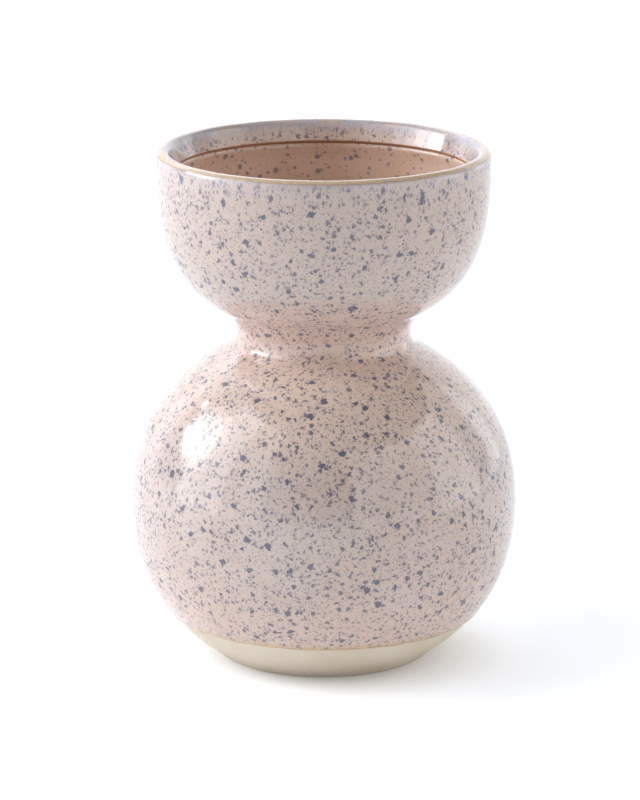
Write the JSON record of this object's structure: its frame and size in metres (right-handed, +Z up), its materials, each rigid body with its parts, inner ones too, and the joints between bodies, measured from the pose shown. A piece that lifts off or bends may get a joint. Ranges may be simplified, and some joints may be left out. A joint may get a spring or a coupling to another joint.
{
  "type": "bud vase",
  "caption": "Ceramic vase with a round belly, a narrow waist and an open cup, in a speckled glaze that stops short of a bare stoneware foot.",
  "frame": {"origin": "centre of the foot's standing face, on the surface that the vase stands on", "axes": "+Z up along the axis that the vase is turned about; X and Y lie in the standing face, and the vase is the same in every direction round Z"},
  "size_m": [0.1136, 0.1136, 0.15],
  "materials": {
    "stoneware": "fired stoneware, bare and matte at the foot, cream with a fine grain",
    "joining_slip": "fired joining slip, matte",
    "speckled_glaze": "glossy pale pink-beige with slate-blue speckles, breaking to ochre at the lip and at its lower edge",
    "liner_glaze": "glossy peach-beige with sparse round speckles"
  },
  "bodies": {
    "root": {"lower_section": "stoneware", "neck_joint": "joining_slip", "upper_section": "stoneware", "rim_ring": "stoneware", "outer_glaze": "speckled_glaze", "inner_glaze": "liner_glaze"}
  },
  "joints": []
}
